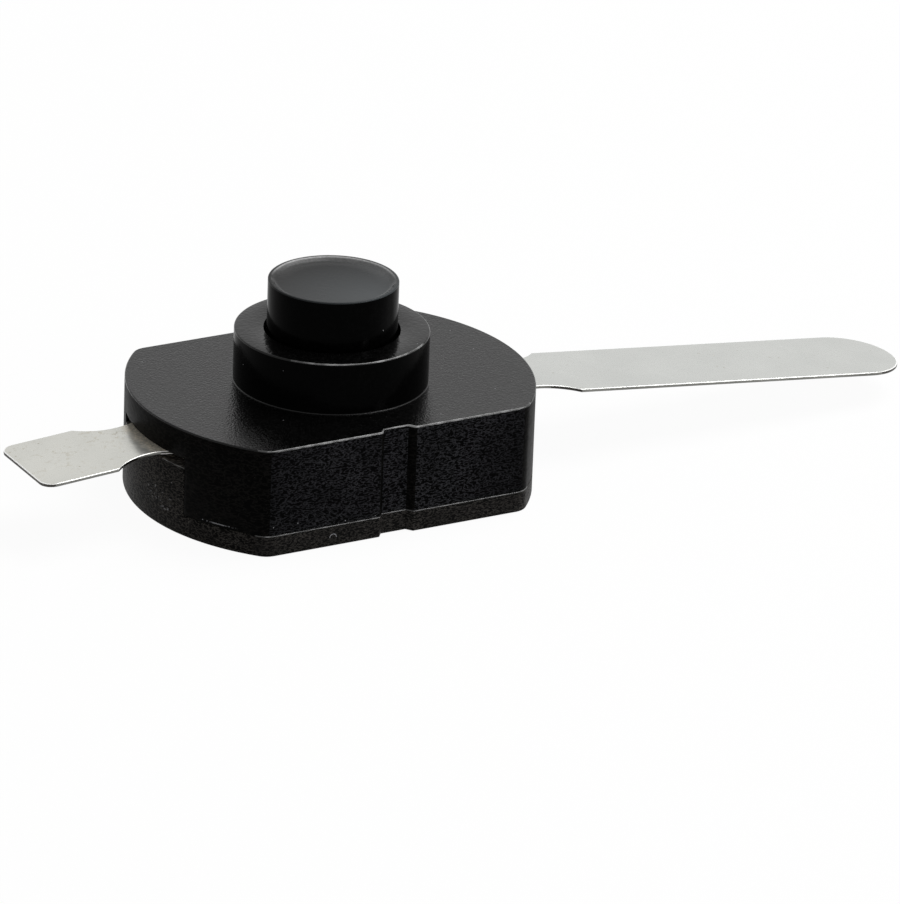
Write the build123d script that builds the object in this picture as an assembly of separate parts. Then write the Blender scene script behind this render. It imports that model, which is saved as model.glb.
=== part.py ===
from build123d import *
import os
from math import cos, degrees, radians, tan

# Mini push-button switch, millimetres, +Z up.
# The origin is on the button's axis, at the underside of the base.
# The long terminal points along +X and the two flats face -Y and +Y.

# Body shell
end_diameter = 16.8
flat_width = 12.0
body_height = 4.6
corner_radius = 0.8
side_wall = 1.2
top_wall = 1.23
edge_round = 0.1
root_chamfer = 0.1
seam_chamfer = 0.05
key_width = 1.1
key_depth = 0.28
key_flare = 0.22

# Base cover
base_thickness = 0.91
base_chamfer = 0.08
register_height = 0.5
register_wall = 0.45
assembly_clearance = 0.03
spring_recess_depth = 0.46
tongue_half_width = 2.62
tongue_top_gap = 0.25
clamp_rib_width = 0.45

# Collar and button
collar_diameter = 8.0
collar_height = 2.2
collar_cap = 0.8
button_diameter = 5.35
button_reach = 2.13
button_clearance = 0.1
button_edge_round = 0.06
button_rim = 0.12
dish_depth = 0.15
dish_wall = 0.2
stop_clearance = 0.05

# Latch: four guide grooves, eight ratchet teeth
groove_count = 4
groove_angle = 30.0
rib_height = 0.5
slide_clearance = 0.1
tooth_count = 8
tooth_height = 0.6
tooth_gap = 0.02
rotor_height = 1.2
rotor_cap = 0.3
rotor_pin_radius = 0.8
rotor_pin_length = 1.9
pin_clearance = 0.06
fin_width = 0.6
fin_roof = 0.35
stake_height = 0.08
stake_width = 0.2
spigot_wall = 0.35
spigot_flat = 0.25

# Return spring
spring_wire = 0.25
spring_wire_sides = 6
spring_turns = 5.5
spring_inner_radius = 1.03
spring_clearance = 0.12
seat_gap = 0.02

# Strip terminals and contact bridge
sheet = 0.15
strip_width = 4.34
long_reach = 18.55
short_reach = 5.53
short_corner_radius = 0.6
long_tip_flat = 0.1
long_droop = 6.4
short_droop = 3.8
bend_radius = 0.6
bend_offset = 0.15
notch_offset = 0.6
notch_depth = 0.68
notch_half_length = 1.65
peg_radius = 0.45
peg_drop = 0.35
peg_clearance = 0.05
terminal_gap = 0.15
contact_gap = 0.03
contact_overlap = 0.65
arm_width = 1.1
floor_clearance = 0.13
arm_clearance = 0.2

# Levels and radii that follow from the sizes above
end_radius = end_diameter / 2
collar_radius = collar_diameter / 2
button_radius = button_diameter / 2
guide_radius = button_radius + button_clearance
bore_radius = guide_radius + rib_height
lug_radius = bore_radius - slide_clearance
ceiling_z = body_height - top_wall
collar_top_z = body_height + collar_height
cap_z = collar_top_z - collar_cap
button_top_z = collar_top_z + button_reach
strip_z = ceiling_z - sheet
bridge_top_z = strip_z - contact_gap
bridge_z = bridge_top_z - sheet
travel = bridge_z - base_thickness - floor_clearance
rotor_top_z = bridge_top_z + rotor_height
crown_z = rotor_top_z + tooth_height / 2 + tooth_gap
spring_seat_z = base_thickness - spring_recess_depth
spring_top_z = rotor_top_z - rotor_cap
spring_radius = spring_inner_radius + spring_wire / 2
spring_bore_radius = spring_inner_radius + spring_wire + spring_clearance
spigot_radius = spring_bore_radius + spigot_wall
stake_radius = spigot_radius + stake_width
arm_reach = bore_radius + terminal_gap + contact_overlap
slot_half_width = tongue_half_width + assembly_clearance
tongue_z = ceiling_z - sheet - tongue_top_gap
cavity_end = end_radius - side_wall
tongue_inner = cavity_end - clamp_rib_width
peg_x = (arm_reach + arm_clearance + cavity_end) / 2
tooth_pitch = 360 / tooth_count
groove_step = 360 / groove_count
first_groove = groove_step / 2
index_turn = tooth_pitch / 4


def body_outline(inset=0.0, corner=corner_radius):
    """The round-ended outline with two flats, moved in by inset."""
    outline = Circle(end_radius - inset) & Rectangle(end_diameter, flat_width - 2 * inset)
    return fillet(outline.vertices(), corner)


def key_channels(height):
    """The two upright channels with slanted sides that key the body, one in the middle of each flat."""
    half = key_width / 2
    floor_y = flat_width / 2 - key_depth
    mouth = half + 2 * key_flare
    mouth_y = flat_width / 2 + key_depth
    channel = make_face(Polyline((-half, floor_y), (half, floor_y), (mouth, mouth_y), (-mouth, mouth_y), close=True))
    return extrude(Sketch() + [channel, Rot(0, 0, 180) * channel], height)


def edges_at(solid, level, radius=None):
    """The edges that lie flat at one level, all of them or only circles of one radius."""
    flat = [e for e in solid.edges() if abs(e.bounding_box().min.Z - level) < 1e-4]
    flat = [e for e in flat if e.bounding_box().max.Z - level < 1e-4]
    if radius is None:
        return flat
    circles = [e for e in flat if e.geom_type == GeomType.CIRCLE]
    return [e for e in circles if abs(e.radius - radius) < 1e-4]


def tooth_wedge(level, reach, angle):
    """A ratchet tooth: a wedge with its point on the axis, deeper with the radius."""
    half = reach * tan(radians(tooth_pitch / 2))
    depth = tooth_height * reach / button_radius
    end = Plane((reach, 0, level), x_dir=(0, 1, 0), z_dir=(1, 0, 0))
    triangle = make_face(Polyline((-half, 0), (half, 0), (0, depth), close=True))
    return Rot(0, 0, angle) * loft([end * triangle, Vertex(0, 0, level)])


def sector(radius, angle, width):
    """A pie slice of the plan, centred on an angle."""
    half = radians(width / 2)
    far = radius / cos(half)
    slice_face = make_face(Polyline((0, 0), (far, -far * tan(half)), (far, far * tan(half)), close=True))
    return Rot(0, 0, angle) * slice_face


def ring(outer, inner, level, height):
    """An upright tube."""
    return Pos(0, 0, level) * extrude(Circle(outer) - Circle(inner), height)


def make_top_housing():
    shell_height = body_height - base_thickness
    shell = Pos(0, 0, base_thickness) * extrude(body_outline(), shell_height)
    shell -= key_channels(body_height)
    shell = fillet(edges_at(shell, body_height), edge_round)
    shell = chamfer(edges_at(shell, base_thickness), seam_chamfer)
    shell += Pos(0, 0, body_height - edge_round) * Cylinder(
        collar_radius, collar_height + edge_round, align=(Align.CENTER, Align.CENTER, Align.MIN))
    shell = fillet(edges_at(shell, collar_top_z, collar_radius), edge_round)
    shell = chamfer(edges_at(shell, body_height, collar_radius), root_chamfer)

    # Hollow under the ceiling, and the bore of the latch up to the collar's cap
    cavity = Pos(0, 0, base_thickness) * extrude(body_outline(side_wall), ceiling_z - base_thickness)
    shell -= cavity
    shell -= Pos(0, 0, ceiling_z) * extrude(Circle(bore_radius), cap_z - ceiling_z)
    shell -= Pos(0, 0, cap_z) * extrude(Circle(guide_radius), collar_cap)

    # Terminal slots, open at the bottom for the tongues of the base
    slot_inner = tongue_inner - assembly_clearance
    slot_length = end_radius + side_wall - slot_inner
    for side in (-1, 1):
        slot = Pos(side * (slot_inner + slot_length / 2), 0) * Rectangle(slot_length, 2 * slot_half_width)
        shell -= Pos(0, 0, base_thickness) * extrude(slot, ceiling_z - base_thickness)

    # Cam ribs between the guide grooves, each with a latch notch in its lower end
    ribs = Circle(bore_radius) - Circle(guide_radius)
    for groove in range(groove_count):
        ribs -= sector(collar_diameter, first_groove + groove * groove_step, groove_angle)
    cam = Pos(0, 0, ceiling_z) * extrude(ribs, cap_z - ceiling_z)
    for rib in range(groove_count):
        cam -= tooth_wedge(ceiling_z, collar_radius, rib * groove_step)
    shell += cam

    # Pegs that hold the terminals
    for side in (-1, 1):
        peg = extrude(Circle(peg_radius), sheet + peg_drop)
        shell += Pos(side * peg_x, 0, strip_z - peg_drop) * peg
    return shell


def make_base_cover():
    plate = extrude(body_outline(), base_thickness)
    plate -= key_channels(base_thickness)
    plate = chamfer(edges_at(plate, 0), base_chamfer)
    plate = chamfer(edges_at(plate, base_thickness), seam_chamfer)

    # Rim that drops inside the shell, kept clear of the sweeping contact arms
    inner = side_wall + assembly_clearance
    rim = body_outline(inner) - body_outline(inner + register_wall)
    rim -= Circle(arm_reach + arm_clearance)
    plate += Pos(0, 0, base_thickness) * extrude(rim, register_height)

    # Tongues that close the terminal slots, with a rib that clamps each strip
    length = end_radius - tongue_inner
    for side in (-1, 1):
        block = Pos(side * (tongue_inner + length / 2), 0) * Rectangle(length, 2 * tongue_half_width)
        tongue = block & body_outline()
        plate += Pos(0, 0, base_thickness) * extrude(tongue, tongue_z - base_thickness)
        rib = Pos(side * (tongue_inner + clamp_rib_width / 2), 0) * Rectangle(clamp_rib_width, strip_width)
        plate += Pos(0, 0, base_thickness) * extrude(rib, strip_z - base_thickness)

    # Seat of the spring, with a boss inside the coil
    boss_radius = spring_inner_radius - spring_clearance
    seat = Circle(stake_radius + arm_clearance) - Circle(boss_radius)
    return plate - Pos(0, 0, spring_seat_z) * extrude(seat, spring_recess_depth)


def make_button():
    body = Pos(0, 0, crown_z) * extrude(Circle(button_radius), button_top_z - crown_z)
    body = fillet(edges_at(body, button_top_z), button_edge_round)

    # Shallow dish in the top, inside a narrow rim
    dish_radius = button_radius - button_rim
    body -= Pos(0, 0, button_top_z - dish_depth / 2) * Cone(dish_radius - dish_wall, dish_radius, dish_depth)

    # Lugs that slide in the guide grooves and stop under the collar's cap
    lug_z = crown_z + slide_clearance
    lug_slack = 2 * degrees(slide_clearance / bore_radius)
    lugs = Sketch()
    for groove in range(groove_count):
        lugs += sector(collar_diameter, first_groove + groove * groove_step, groove_angle - lug_slack)
    lugs &= Circle(lug_radius)
    body += Pos(0, 0, lug_z) * extrude(lugs, cap_z - stop_clearance - lug_z)

    # Crown of ratchet notches, and the bore that centres the rotor
    for tooth in range(tooth_count):
        body -= tooth_wedge(crown_z, collar_radius, tooth * tooth_pitch)
    bore_depth = rotor_top_z + rotor_pin_length + pin_clearance - crown_z
    return body - Pos(0, 0, crown_z) * extrude(Circle(rotor_pin_radius + pin_clearance), bore_depth)


def make_rotor():
    rotor_radius = button_radius - slide_clearance
    body = Pos(0, 0, bridge_top_z) * extrude(Circle(rotor_radius), rotor_height)

    # Teeth, a quarter pitch behind the crown, so that a press turns them into line
    teeth = Part()
    for tooth in range(tooth_count):
        teeth += tooth_wedge(rotor_top_z, collar_radius, tooth * tooth_pitch - index_turn)
    body += teeth & ring(rotor_radius, rotor_pin_radius, rotor_top_z, 2 * tooth_height)
    body += Pos(0, 0, rotor_top_z) * extrude(Circle(rotor_pin_radius), rotor_pin_length)

    # Fins with a roof-shaped top, half the index turn behind the middle of their grooves
    fin_z = bridge_top_z + contact_gap
    eaves_z = rotor_top_z - slide_clearance
    half = fin_width / 2
    gable = make_face(Polyline((-half, fin_z), (half, fin_z), (half, eaves_z), (0, eaves_z + fin_roof),
                               (-half, eaves_z), close=True))
    start = rotor_radius - 2 * slide_clearance
    front = Plane((start, 0, 0), x_dir=(0, 1, 0), z_dir=(1, 0, 0))
    fin = extrude(front * gable, lug_radius - start) & ring(lug_radius, start, 0, collar_top_z)
    for groove in range(groove_count):
        body += Rot(0, 0, first_groove + groove * groove_step - index_turn / 2) * fin

    # Spigot with two flats that carries the bridge, and its staked rim
    spigot = Circle(spigot_radius) & Rectangle(2 * (spigot_radius - spigot_flat), 2 * spigot_radius)
    body += Pos(0, 0, bridge_z) * extrude(spigot, sheet)
    body += Pos(0, 0, bridge_z - stake_height) * extrude(Circle(stake_radius), stake_height)
    bore_z = bridge_z - stake_height
    return body - Pos(0, 0, bore_z) * extrude(Circle(spring_bore_radius), spring_top_z - bore_z)


def make_contact_bridge():
    hub_radius = stake_radius + arm_width / 2
    plan = Circle(hub_radius) + Rectangle(2 * arm_reach, arm_width) + Rectangle(arm_width, 2 * arm_reach)
    plan &= Circle(arm_reach)
    hole_radius = spigot_radius + assembly_clearance
    hole = Circle(hole_radius) & Rectangle(2 * (hole_radius - spigot_flat), 2 * hole_radius)
    return Pos(0, 0, bridge_z) * extrude(plan - hole, sheet)


def make_return_spring():
    length = spring_top_z - spring_seat_z - spring_wire - 2 * seat_gap
    coil = Helix(pitch=length / spring_turns, height=length, radius=spring_radius)
    wire = Plane(coil @ 0, z_dir=coil % 0) * RegularPolygon(spring_wire / 2, spring_wire_sides)
    return Pos(0, 0, spring_seat_z + seat_gap + spring_wire / 2) * sweep(wire, coil, is_frenet=True)


def make_terminal(reach, droop, end_corner):
    """A strip along +X: flat under the ceiling, then bent down outside the body."""
    start = bore_radius + terminal_gap
    tip = end_radius + reach
    half = strip_width / 2
    bend_x = end_radius + bend_offset
    middle_z = ceiling_z - sheet / 2
    drop = (tip - bend_x) * tan(radians(droop))
    path = FilletPolyline((start, 0, middle_z), (bend_x, 0, middle_z), (tip, 0, middle_z - drop),
                          radius=bend_radius)
    section = Plane(path @ 0, x_dir=(0, 1, 0), z_dir=path % 0) * Rectangle(strip_width, sheet)
    strip = sweep(section, path)

    # Plan of the strip: its corners, the two half-round notches and the peg hole
    plan = Pos((start + tip) / 2, 0) * Rectangle(tip - start, strip_width)
    plan = fillet(plan.vertices().sort_by(Axis.X)[-2:], end_corner)
    notch_radius = (notch_half_length ** 2 + notch_depth ** 2) / (2 * notch_depth)
    notch_y = half - notch_depth + notch_radius
    for side in (-1, 1):
        plan -= Pos(end_radius + notch_offset, side * notch_y) * Circle(notch_radius)
    plan -= Pos(peg_x, 0) * Circle(peg_radius + peg_clearance)
    return strip & extrude(plan, body_height)


parts = {
    "top_housing": make_top_housing(),
    "base_cover": make_base_cover(),
    "button": make_button(),
    "rotor": make_rotor(),
    "contact_bridge": make_contact_bridge(),
    "return_spring": make_return_spring(),
    "short_terminal": Rot(0, 0, 180) * make_terminal(short_reach, short_droop, short_corner_radius),
    "long_terminal": make_terminal(long_reach, long_droop, (strip_width - long_tip_flat) / 2),
}
os.makedirs("parts", exist_ok=True)
for name, solid in parts.items():
    export_step(solid, f"parts/{name}.step")
print("travel", round(travel, 3), "index turn", index_turn)
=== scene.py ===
# %% [markdown]
# # A mini push-button switch
# This lesson dresses a small latching switch, the kind that is pressed at the tail of a torch. Its
# measured pieces are already there as a frame, in metres, with +Z along the button and +X along the
# long terminal. Each visible piece is modelled again in millimetres round that frame, with the rounded
# edges and the finishes of the real mouldings, shrunk to metres once, and never moved after that.

# %% Load the frame
from itertools import product
from math import asin, atan2, cos, hypot, pi, radians, sin, sqrt, tan

import bmesh
import bpy
from mathutils import Matrix, Vector


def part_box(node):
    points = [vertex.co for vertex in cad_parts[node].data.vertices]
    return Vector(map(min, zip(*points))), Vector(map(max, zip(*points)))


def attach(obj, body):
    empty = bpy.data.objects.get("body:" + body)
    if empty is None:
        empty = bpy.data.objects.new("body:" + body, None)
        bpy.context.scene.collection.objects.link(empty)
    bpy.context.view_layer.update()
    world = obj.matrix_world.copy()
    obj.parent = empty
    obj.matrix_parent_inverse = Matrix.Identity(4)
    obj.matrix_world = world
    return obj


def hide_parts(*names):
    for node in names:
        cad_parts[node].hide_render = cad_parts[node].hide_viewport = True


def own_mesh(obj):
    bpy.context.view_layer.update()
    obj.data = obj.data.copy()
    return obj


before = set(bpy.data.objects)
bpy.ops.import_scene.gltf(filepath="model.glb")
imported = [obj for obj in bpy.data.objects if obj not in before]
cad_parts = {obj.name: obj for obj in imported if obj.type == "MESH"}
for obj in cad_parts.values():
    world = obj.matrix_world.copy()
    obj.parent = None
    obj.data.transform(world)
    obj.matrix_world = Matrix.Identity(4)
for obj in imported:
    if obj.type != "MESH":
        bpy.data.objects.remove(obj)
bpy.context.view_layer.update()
MM = 0.001


def box_mm(node):
    """The lowest and highest corner of a measured piece, in millimetres."""
    low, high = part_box(node)
    return low / MM, high / MM


# %% [markdown]
# ## The camera
# The picture was taken from front left and a little above, with a long lens, so the lines hardly
# converge. A camera could be placed by eye. Here it is worked out from two angles, a small tilt and a
# distance, because then the outline falls on the picture's own pixels and can be compared with them.

# %% Set up the camera
PHOTO_HEIGHT = 904
FOCAL_PIXELS = 7921.6
SENSOR_MM = 36.0
CAMERA_AZIMUTH = radians(-29.382)
CAMERA_ELEVATION = radians(22.808)
CAMERA_ROLL = radians(2.183)
CAMERA_DISTANCE = 327.544 * MM
CAMERA_TARGET = Vector((5.723, 0.0, 0.323)) * MM


def direction(azimuth, elevation):
    """The way from the switch to a place round it. Azimuth 0 is in front, and elevation 0 is level."""
    return Vector((sin(azimuth) * cos(elevation), -cos(azimuth) * cos(elevation), sin(elevation)))


def add_camera():
    lens = bpy.data.cameras.new("photo_camera")
    lens.sensor_fit = "VERTICAL"
    lens.sensor_height = SENSOR_MM
    lens.lens = FOCAL_PIXELS * SENSOR_MM / PHOTO_HEIGHT
    camera = bpy.data.objects.new("photo_camera", lens)
    bpy.context.scene.collection.objects.link(camera)
    back = direction(CAMERA_AZIMUTH, CAMERA_ELEVATION)
    right = Vector((cos(CAMERA_AZIMUTH), sin(CAMERA_AZIMUTH), 0.0))
    up = back.cross(right)
    turned_right = right * cos(CAMERA_ROLL) + up * sin(CAMERA_ROLL)
    turned_up = up * cos(CAMERA_ROLL) - right * sin(CAMERA_ROLL)
    axes = Matrix((turned_right, turned_up, back)).transposed().to_4x4()
    camera.matrix_world = Matrix.Translation(CAMERA_TARGET + back * CAMERA_DISTANCE) @ axes
    bpy.context.scene.camera = camera
    return camera


camera = add_camera()
camera_mm = [round(c / MM, 1) for c in camera.location]
print("camera at", camera_mm, "mm, lens", round(camera.data.lens, 1), "mm")

# %% [markdown]
# ## Shader maths as Python
# A finish is a small network of nodes. Wiring them by hand is slow to read, so one class wraps a
# socket and turns arithmetic on it into Math nodes, and another adds any other node with its settings
# and inputs in one call. A line such as `0.3 + 0.1 * grain` then reads as what it does.

# %% Write node trees as expressions
EVEN = (1.0, 1.0, 1.0)


class Wire:
    """A node's output. Arithmetic on it adds Math nodes to its tree."""

    def __init__(self, tree, socket):
        self.tree = tree
        self.socket = socket

    def math(self, operation, first, second):
        return self.tree.node("ShaderNodeMath", {"operation": operation}, {0: first, 1: second})

    def __add__(self, other):
        return self.math("ADD", self, other)

    def __radd__(self, other):
        return self.math("ADD", other, self)

    def __sub__(self, other):
        return self.math("SUBTRACT", self, other)

    def __rsub__(self, other):
        return self.math("SUBTRACT", other, self)

    def __mul__(self, other):
        return self.math("MULTIPLY", self, other)

    def __rmul__(self, other):
        return self.math("MULTIPLY", other, self)

    def __gt__(self, other):
        return self.math("GREATER_THAN", self, other)

    def __lt__(self, other):
        return self.math("LESS_THAN", self, other)

    def __abs__(self):
        return self.math("ABSOLUTE", self, 0.0)

    def at_most(self, other):
        return self.math("MINIMUM", self, other)

    def at_least(self, other):
        return self.math("MAXIMUM", self, other)


class NodeTree:
    """The node tree of a material or a world, emptied and ready to be written."""

    def __init__(self, owner):
        owner.use_nodes = True
        self.owner = owner
        self.tree = owner.node_tree
        self.tree.nodes.clear()

    def node(self, kind, settings=None, inputs=None, output=0):
        """Adds one node: its settings first, then the values or links of its sockets."""
        made = self.tree.nodes.new(kind)
        for name, value in (settings or {}).items():
            if name == "stops":
                self.set_stops(made.color_ramp.elements, value)
            else:
                setattr(made, name, value)
        for key, value in (inputs or {}).items():
            if isinstance(value, Wire):
                self.tree.links.new(value.socket, made.inputs[key])
            else:
                made.inputs[key].default_value = value
        return Wire(self, made.outputs[output])

    def set_stops(self, elements, stops):
        """Gives a colour ramp its stops, as pairs of place and grey level."""
        while len(elements) < len(stops):
            elements.new(1.0)
        for element, (place, grey) in zip(elements, stops):
            element.position = place
            element.color = (grey, grey, grey, 1.0)

    def place(self):
        """Object coordinates, in metres from the switch's origin."""
        return self.node("ShaderNodeTexCoord", output="Object")

    def noise(self, size_mm, detail=2.0, roughness=0.5, stretch=EVEN):
        """Soft random variation whose patches are about size_mm across."""
        where = self.node("ShaderNodeMapping", {}, {"Vector": self.place(), "Scale": stretch})
        inputs = {"Vector": where, "Scale": 1.0 / (size_mm * MM), "Detail": detail, "Roughness": roughness}
        return self.node("ShaderNodeTexNoise", {}, inputs)

    def specks(self, spacing_mm, radius):
        """Small round dots, one in each cell of a scatter; radius is a share of the cell."""
        inputs = {"Vector": self.place(), "Scale": 1.0 / (spacing_mm * MM)}
        return self.node("ShaderNodeTexVoronoi", {"feature": "F1"}, inputs, "Distance") < radius

    def near(self, spot, reach):
        """One at a spot on the switch, fading to zero at a distance from it, all in millimetres."""
        inputs = {0: self.place(), 1: Vector(spot) * MM}
        away = self.node("ShaderNodeVectorMath", {"operation": "DISTANCE"}, inputs, "Value")
        return 1.0 - (away * (1.0 / (reach * MM))).at_most(1.0)

    def from_axis(self):
        """The distance from the button's axis, in millimetres."""
        flat = self.node("ShaderNodeMapping", {}, {"Vector": self.place(), "Scale": (1.0, 1.0, 0.0)})
        return self.node("ShaderNodeVectorMath", {"operation": "LENGTH"}, {0: flat}, "Value") * (1.0 / MM)

    def along(self, axis):
        """The distance from the origin along X, Y or Z, in millimetres."""
        return self.node("ShaderNodeSeparateXYZ", {}, {"Vector": self.place()}, axis) * (1.0 / MM)

    def ramp(self, value, *stops):
        """Turns a value into a grey level, by pairs of value and grey."""
        return self.node("ShaderNodeValToRGB", {"stops": stops}, {"Fac": value})

    def blend(self, factor, first, second):
        """Mixes two colours."""
        inputs = {0: factor, 6: first, 7: second}
        return self.node("ShaderNodeMix", {"data_type": "RGBA"}, inputs, 2)

    def bump(self, height, depth_mm):
        """Surface relief whose full height is depth_mm."""
        inputs = {"Strength": 1.0, "Distance": depth_mm * MM, "Height": height}
        return self.node("ShaderNodeBump", {}, inputs, "Normal")

    def principled(self, **inputs):
        """A Principled surface; an underscore in a name stands for a space."""
        named = {name.replace("_", " "): value for name, value in inputs.items()}
        return self.node("ShaderNodeBsdfPrincipled", {}, named)

    def finish(self, surface, output="ShaderNodeOutputMaterial"):
        """Links the surface to the output, and returns the material or world."""
        made = self.tree.nodes.new(output)
        self.tree.links.new(surface.socket, made.inputs["Surface"])
        return self.owner


def new_finish(name):
    return NodeTree(bpy.data.materials.new(name))


print("shader helpers ready")

# %% [markdown]
# ## Floor, backdrop and light
# The switch lies on white paper under soft studio light. The white is painted, not lit: for the rays
# that look at the paper, straight or by a reflection, nearly all of its colour is a plain white, and the
# rest is lit paper, which keeps a faint shadow. The lamps can then stay at a level where black plastic
# renders as black as it is written.

# %% Build the stage
PAPER_SIDE = 6.0
PAPER_DROP = 0.02 * MM
PAPER_GREY = 0.9
PAPER_MOTTLE = 0.01
PAPER_WHITE_SHARE = 0.95
WORLD_FILL = 0.28


def seen_directly(tree):
    """One for rays from the camera, a mirror-like surface or a clear one, and zero for light."""
    path = [tree.node("ShaderNodeLightPath", output=name)
            for name in ("Is Camera Ray", "Is Glossy Ray", "Is Transmission Ray")]
    return (path[0] + path[1] + path[2]).at_most(1.0)


def white_paper():
    tree = new_finish("white_paper")
    fibres = tree.noise(3.0, 4.0)
    grey = tree.ramp(fibres, (0.3, PAPER_GREY - PAPER_MOTTLE), (0.7, PAPER_GREY + PAPER_MOTTLE))
    paper = tree.principled(Base_Color=grey, Roughness=0.9)
    white = tree.node("ShaderNodeEmission", {}, {"Color": (1, 1, 1, 1), "Strength": 1.0})
    share = seen_directly(tree) * PAPER_WHITE_SHARE
    return tree.finish(tree.node("ShaderNodeMixShader", {}, {0: share, 1: paper, 2: white}))


def add_paper():
    bm = bmesh.new()
    bmesh.ops.create_grid(bm, x_segments=1, y_segments=1, size=PAPER_SIDE / 2)
    bmesh.ops.translate(bm, verts=bm.verts, vec=(0, 0, -PAPER_DROP))
    mesh = bpy.data.meshes.new("paper")
    bm.to_mesh(mesh)
    bm.free()
    paper = bpy.data.objects.new("paper", mesh)
    mesh.materials.append(white_paper())
    bpy.context.scene.collection.objects.link(paper)


def light_world():
    world = bpy.data.worlds.new("white_studio")
    bpy.context.scene.world = world
    tree = NodeTree(world)
    strength = WORLD_FILL + (1.0 - WORLD_FILL) * seen_directly(tree)
    sky = tree.node("ShaderNodeBackground", {}, {"Color": (1, 1, 1, 1), "Strength": strength})
    tree.finish(sky, "ShaderNodeOutputWorld")


def add_soft_box(name, azimuth, elevation, distance_mm, size_mm, watts):
    """A rectangular lamp that faces the switch from a place round it."""
    lamp = bpy.data.lights.new(name, "AREA")
    lamp.shape = "RECTANGLE"
    lamp.size, lamp.size_y = (side * MM for side in size_mm)
    lamp.energy = watts
    box = bpy.data.objects.new(name, lamp)
    bpy.context.scene.collection.objects.link(box)
    towards = direction(radians(azimuth), radians(elevation))
    box.location = CAMERA_TARGET + towards * distance_mm * MM
    box.rotation_euler = towards.to_track_quat("Z", "Y").to_euler()
    print("lamp", name, "of", watts, "W at", [round(c / MM) for c in box.location], "mm")


add_paper()
light_world()
add_soft_box("overhead_box", azimuth=86.5, elevation=63, distance_mm=400, size_mm=(290, 250), watts=1.35)
add_soft_box("front_box", azimuth=30, elevation=18, distance_mm=400, size_mm=(60, 60), watts=0.25)
bpy.context.scene.view_settings.view_transform = "Standard"

# %% [markdown]
# ## Black plastic
# The body, base and button are moulded in black nylon. The mould's faces differ: the top was polished
# and comes out satin, so it mirrors the paper as a soft grey, while the sides were spark-eroded and
# come out as a fine wrinkled grain. One function makes all of them from a few numbers, because they
# share their pigment, their specks of dust and the way the grain breaks up a reflection. The wrinkles
# are the places where a soft noise passes through its middle value: those form long wavy lines. Marks
# of use, such as scuffs, chips and a fibre, are small masks at named spots on the switch.

# %% Make the black finishes
DUST = (0.2, 0.2, 0.21, 1.0)
WARM = (1.0, 0.92, 0.84)
COOL = (0.97, 0.97, 1.08)
WRINKLE = 0.07
LENGTHWAYS = (0.6, 0.6, 1.5)
DUST_SPACING = 0.8
DUST_RADIUS = 0.035
RUB_GRAIN = 0.13
RUB_CONTRAST = 2.2
SCUFFS = ((-8.37, -0.6, 1.3), (-8.22, -1.5, 1.15))
SCUFF_REACH = 0.6
CHIPS = (-7.2, -4.3, 1.04)
CHIP_REACH = 1.15
CHIP_HALF = 0.022
FIBRE = (-2.9, -6.0, 0.38)
FIBRE_REACH = 0.3
FIBRE_HALF = 0.06


def shade(level, tint=EVEN):
    """A grey of one level, tinted."""
    return (*(level * share for share in tint), 1.0)


def broken(tree, wear_and_sheen):
    """Breaks a patch of wear up into small pale specks, closest together where the wear is strongest."""
    return tree.ramp(wear_and_sheen + RUB_CONTRAST * (tree.noise(RUB_GRAIN) - 0.5), (0.6, 0.0), (0.9, 1.0))


def tongue_scuffs(tree):
    """Specks on the left tongue of the base, where the strip was pushed in."""
    first, second = (tree.near(spot, SCUFF_REACH) for spot in SCUFFS)
    return 0.8 * broken(tree, (1.5 * first.at_least(second)).at_most(0.42))


def corner_chips(tree):
    """A broken pale line along the lower edge of the housing, by its front left corner."""
    along_edge = abs(tree.along("Z") - CHIPS[2]) < CHIP_HALF
    return broken(tree, 1.3 * tree.near(CHIPS, CHIP_REACH)) * along_edge


def base_fibre(tree):
    """A short bent fibre stuck to the front of the base: half of a thin ring."""
    ring = abs(tree.near(FIBRE, FIBRE_REACH) - 0.5) < FIBRE_HALF
    return ring * (tree.along("Z") > FIBRE[2])


def towards_middle(tree):
    """Stronger in the middle of the flats than towards their ends."""
    return tree.ramp(abs(tree.along("X")) * 0.1, (0.3, 1.0), (0.66, 0.35))


def black_plastic(name, pigment, fleck, rough, shine, grain_mm, relief_mm, tint=EVEN, wrinkled=False,
                  marks=None, spread=None):
    """Moulded black plastic. shine is its specular level, and fleck is the grey on top of its grain."""
    tree = new_finish(name)
    grain = tree.noise(grain_mm, 2.0, 0.5, LENGTHWAYS if wrinkled else EVEN)
    cloud = tree.noise(1.6, 3.0)
    if wrinkled:
        flecks = tree.ramp(abs(grain - 0.5), (0.0, 1.0), (WRINKLE, 0.0)) * (0.2 + 1.6 * cloud)
    else:
        flecks = tree.ramp(grain + 0.15 * (cloud - 0.5), (0.45, 0.0), (0.85, 1.0))
    if spread:
        flecks = flecks * spread(tree)
    pale = tree.specks(DUST_SPACING, DUST_RADIUS) * (tree.noise(2.2, 1.0) > 0.48)
    if marks:
        pale = pale.at_least(marks(tree))
    colour = tree.blend(pale, tree.blend(flecks, shade(pigment, tint), shade(fleck, tint)), DUST)
    roughness = rough + 0.12 * (grain - 0.5) + 0.1 * (cloud - 0.5)
    return tree.finish(tree.principled(Base_Color=colour, Roughness=roughness, Specular_IOR_Level=shine,
                                       Normal=tree.bump(grain, relief_mm)))


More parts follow.
